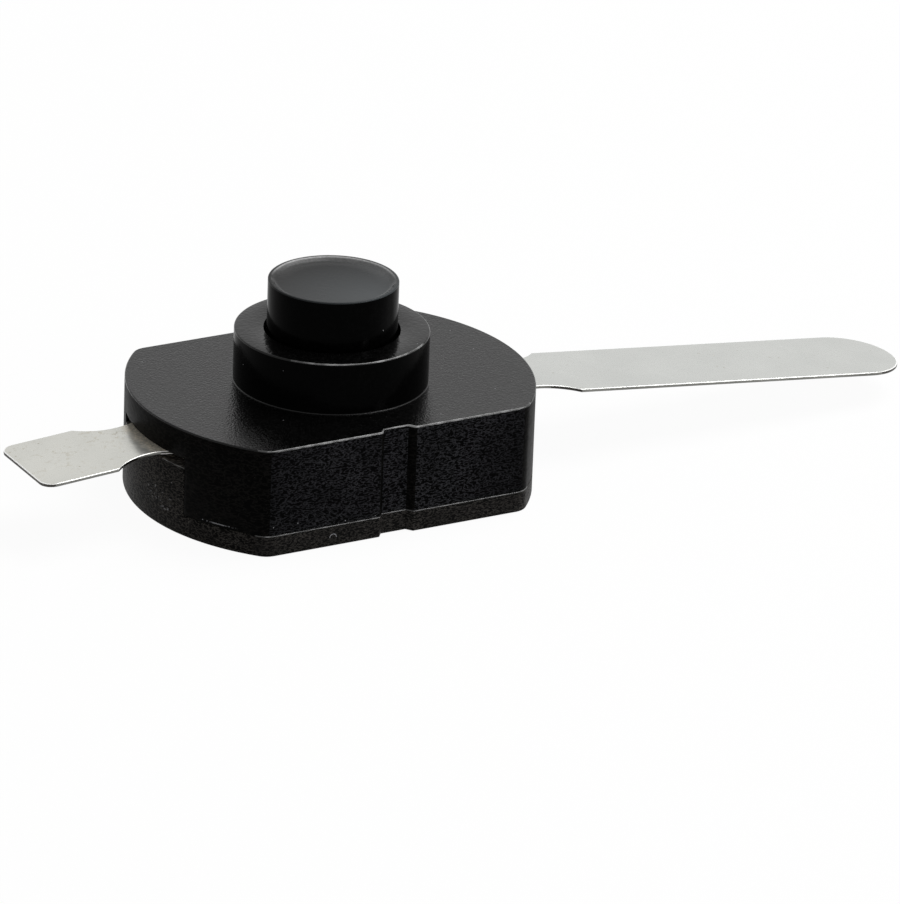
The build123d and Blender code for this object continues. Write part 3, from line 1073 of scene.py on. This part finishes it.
# %% Model the button
button_low, button_high = box_mm("button")
CROWN_Z = button_low.z
BUTTON_TOP_Z = button_high.z
LUG_RADIUS = 3.175
LUG_HALF = radians(13.25)
LUG_TOP_Z = 5.95
PIN_BORE_RADIUS = 0.86
PIN_BORE_TOP_Z = 6.35
BUTTON_ROUND = 0.05
RIM_RADIUS = 2.555
DISH_RADIUS = 2.355
DISH_DEPTH = 0.15
DISH_ROUND = 0.09
PAINTED_RIM_HIGHLIGHT = ((0.66, 0.0), (0.84, 0.03), (0.88, 0.08), (0.925, 0.13), (0.948, 0.48), (0.956, 0.02))
RIM_HIGHLIGHT_SIDE = (0.49, 0.87)
SHEEN_SPOT = (0.8, -2.0, BUTTON_TOP_Z)
SHEEN_REACH = 4.4
SLATE = (0.88, 1.0, 1.07)


def button_top_black():
    """The button's top: satin and hollow, with a painted sheen paler to the front right and a painted
    highlight at the back of its rim.
    """
    tree = new_finish("button_top_black")
    grain = tree.noise(0.16, 2.0, 0.55)
    cloud = tree.noise(0.9, 3.0)
    outwards = tree.from_axis() * (1.0 / BUTTON_RADIUS)
    # A pale arc along the back of the rim: a painted highlight.
    ring = tree.ramp(outwards + 0.012 * (cloud - 0.5), *PAINTED_RIM_HIGHLIGHT)
    grainy = ring * (0.4 + 1.2 * tree.noise(0.1, 3.0, 0.6))
    backwards = RIM_HIGHLIGHT_SIDE[0] * tree.along("X") + RIM_HIGHLIGHT_SIDE[1] * tree.along("Y")
    pale = grainy * tree.ramp(backwards * (1.0 / BUTTON_RADIUS), (0.05, 0.0), (0.45, 1.0))
    # A grey painted sheen over the top, paler towards the front right.
    wear_and_sheen = 0.05 * tree.near(SHEEN_SPOT, SHEEN_REACH)
    relief = tree.bump(outwards * outwards + 0.1 * grain, 0.045)
    floor = tree.blend(wear_and_sheen, shade(0.0), shade(0.95, SLATE))
    colour = tree.blend(pale, floor, shade(1.0))
    return tree.finish(tree.principled(Base_Color=colour, Roughness=0.14 + 0.1 * (cloud - 0.5),
                                       Specular_IOR_Level=0.068, Normal=relief))


def build_button():
    bm = bmesh.new()
    draw_circle(bm, PIN_BORE_RADIUS, CROWN_Z, ROUND_STEPS)
    bore = loose_edges(bm)
    crown = pull(bm, bore, spread=BUTTON_RADIUS / PIN_BORE_RADIUS)
    lugs = [e for e in crown if near_groove(middle(e), LUG_HALF)]
    between = [e for e in crown if not near_groove(middle(e), LUG_HALF)]
    lug_feet = pull(bm, lugs, spread=LUG_RADIUS / BUTTON_RADIUS)
    lug_walls = pull(bm, lug_feet)
    lug_tops = pull(bm, lug_walls, spread=BUTTON_RADIUS / LUG_RADIUS)
    walls = pull(bm, between)
    lift_teeth(bore + crown + lug_feet, CROWN_Z, TOOTH_PITCH)
    flatten(lug_walls + lug_tops + walls, LUG_TOP_Z)
    close_sectors(bm, LUG_RADIUS)
    edge = pull(bm, open_at(bm, LUG_TOP_Z), BUTTON_TOP_Z - LUG_TOP_Z)
    rim = pull(bm, edge, spread=RIM_RADIUS / BUTTON_RADIUS)
    pull(bm, rim, -DISH_DEPTH, DISH_RADIUS / RIM_RADIUS)
    floor_z = BUTTON_TOP_Z - DISH_DEPTH
    fill_level(bm, floor_z)
    inner = [e for e in bm.edges if is_open(e)]
    flatten(pull(bm, inner), PIN_BORE_TOP_Z)
    fill_level(bm, PIN_BORE_TOP_Z)
    bmesh.ops.recalc_face_normals(bm, faces=bm.faces)
    edge = sharp_edges(bm, lambda p: is_at(p.z, BUTTON_TOP_Z) and off_axis(p) > BUTTON_RADIUS - TINY)
    round_off(bm, edge, BUTTON_ROUND, 4)
    foot = [e for e in bm.edges if at_level(e, floor_z) and len(e.link_faces) == 2]
    round_off(bm, foot, DISH_ROUND, 4)
    for face in bm.faces:
        face.material_index = int(face.calc_center_median().z < floor_z - TINY)
    settle(bm, "plunger", "button", "button", (button_top_black(), gloss_black))


build_button()

# %% [markdown]
# ## The terminals
# Both terminals are stamped from the same nickel-plated strip: flat under the housing's ceiling, where
# a peg holds them, and bent down a little outside it. Two half-round notches beside the body let the
# strip bend there, and the tips are rounded. Half of the plan is drawn and mirrored, filled, cut across
# at the bend, tilted beyond it, and given its thickness last.

# %% Model the terminals
STRIP_TOP_Z = CEILING_Z
SHEET = 0.15
STRIP_START = 3.425
BEND_X = 8.55
BEND_CUTS = 7
BEND_LENGTH = 0.06
NOTCH_X = 9.0
NOTCH_DEPTH = 0.68
NOTCH_HALF = 1.65
PEG_HOLE = 0.5
STRIP_EDGE = 0.05
CURVE_STEPS = 28
TILTED = 0.3
STRAIGHT = 0.97
PLATED, DARKER_CUT, GREYER_CUT, HIGHLIT_EDGE = range(4)


def draw_strip(bm, tip, corner):
    """Draws a strip's plan along +X, from its inner end to its tip."""
    notch_radius = (NOTCH_HALF ** 2 + NOTCH_DEPTH ** 2) / (2 * NOTCH_DEPTH)
    notch_y = NOTCH_DEPTH - STRIP_HALF - notch_radius
    notch_turn = 2 * asin(NOTCH_HALF / notch_radius)
    at = start_at(bm, STRIP_START, 0, STRIP_TOP_Z)
    at = line_to(bm, at, STRIP_START, -STRIP_HALF)
    at = line_to(bm, at, NOTCH_X - NOTCH_HALF, -STRIP_HALF)
    at = arc_about(bm, at, NOTCH_X, notch_y, -notch_turn, CURVE_STEPS)
    at = line_to(bm, at, tip - corner, -STRIP_HALF)
    at = arc_about(bm, at, tip - corner, corner - STRIP_HALF, pi / 2, CURVE_STEPS)
    line_to(bm, at, tip, 0)
    mirror_plan(bm, set(), "Y")
    draw_circle(bm, PEG_HOLE, STRIP_TOP_Z, PEG_STEPS, PEG_X)
    fill_level(bm, STRIP_TOP_Z)


def bend_down(bm, slope):
    """Cuts the strip across at the bend, and lowers what lies beyond it, with a short curve between."""
    for cut in range(BEND_CUTS):
        x = BEND_X + BEND_LENGTH * (cut / (BEND_CUTS - 1) - 0.5)
        everything = bm.verts[:] + bm.edges[:] + bm.faces[:]
        bmesh.ops.bisect_plane(bm, geom=everything, plane_co=(x, 0, 0), plane_no=(1, 0, 0))
    for vert in bm.verts:
        past = vert.co.x - BEND_X + BEND_LENGTH / 2
        curved = min(max(past, 0.0), BEND_LENGTH)
        vert.co.z -= slope * (curved ** 2 / (2 * BEND_LENGTH) + max(past - BEND_LENGTH, 0.0))


def pick_strip_finish(face):
    """Upper rounded edges: a near-white painted highlight. Other edges: dark, as cut steel and painted
    shade, greyer facing front or back.
    """
    sideways = hypot(face.normal.x, face.normal.y)
    if sideways <= TILTED:
        return PLATED
    if face.normal.z > TILTED:
        return HIGHLIT_EDGE
    return GREYER_CUT if abs(face.normal.y) > STRAIGHT * sideways else DARKER_CUT


def build_terminal(name, node, side, corner, droop, plating):
    """Models one strip along +X, and turns it round for the other side. droop is in degrees."""
    low, high = box_mm(node)
    tip = max(side * low.x, side * high.x)
    bm = bmesh.new()
    draw_strip(bm, tip, corner)
    bend_down(bm, tan(radians(droop)))
    made = bmesh.ops.extrude_face_region(bm, geom=bm.faces[:], use_keep_orig=True)["geom"]
    bmesh.ops.translate(bm, verts=only_verts(made), vec=(0, 0, -SHEET))
    bmesh.ops.recalc_face_normals(bm, faces=bm.faces)
    round_off(bm, [e for e in sharp_edges(bm, lambda p: True) if not is_upright(e)], STRIP_EDGE, 3)
    for face in bm.faces:
        face.material_index = pick_strip_finish(face)
    turn = Matrix.Rotation(0 if side > 0 else pi, 3, "Z")
    bmesh.ops.rotate(bm, verts=bm.verts, cent=(0, 0, 0), matrix=turn)
    settle(bm, name, node, "housing", (plating, *strip_edges))


build_terminal("long_strip", "long_terminal", 1, corner=2.12, droop=6.4, plating=shaded_nickel)
build_terminal("short_strip", "short_terminal", -1, corner=0.6, droop=3.8, plating=nickel)

# %% [markdown]
# ## The spring and the inner pieces
# A coil spring pushes the rotor and the button out again. A round wire section is spun about the axis
# and raised as it turns: slowly for the closed turn at each end, and faster between them. The rotor and
# the contact bridge are already true to the real ones, so they only get their finish.

# %% Model the spring and finish the inner pieces
WIRE_RADIUS = 0.125
COIL_RADIUS = 1.155
COIL_TURNS = 5.5
END_TURN_PITCH = 0.27
TURN_STEPS = 40
WIRE_SIDES = 14


def build_spring():
    low, high = box_mm("return_spring")
    rise = high.z - low.z - 2 * WIRE_RADIUS
    active_turns = COIL_TURNS - 2
    active_pitch = (rise - 2 * END_TURN_PITCH) / active_turns
    bm = bmesh.new()
    section = Matrix.Translation((COIL_RADIUS, 0, low.z + WIRE_RADIUS)) @ Matrix.Rotation(pi / 2, 4, "X")
    bmesh.ops.create_circle(bm, segments=WIRE_SIDES, radius=WIRE_RADIUS, matrix=section, cap_ends=True)
    end = bm.faces[:] + bm.edges[:] + bm.verts[:]
    for turns, pitch in ((1, END_TURN_PITCH), (active_turns, active_pitch), (1, END_TURN_PITCH)):
        made = bmesh.ops.spin(bm, geom=end, cent=(0, 0, 0), axis=(0, 0, 1), angle=2 * pi * turns,
                              dvec=(0, 0, pitch / TURN_STEPS), steps=int(turns * TURN_STEPS))
        end = made["geom_last"]
    spring = settle(bm, "coil", "return_spring", "housing", (spring_steel,))
    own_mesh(spring)


def finish_node(node, finish):
    """Gives a measured piece its finish."""
    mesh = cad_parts[node].data
    mesh.materials.clear()
    mesh.materials.append(finish)
    print(node, "is finished in", finish.name)


build_spring()
finish_node("rotor", natural_white)
finish_node("contact_bridge", brass)
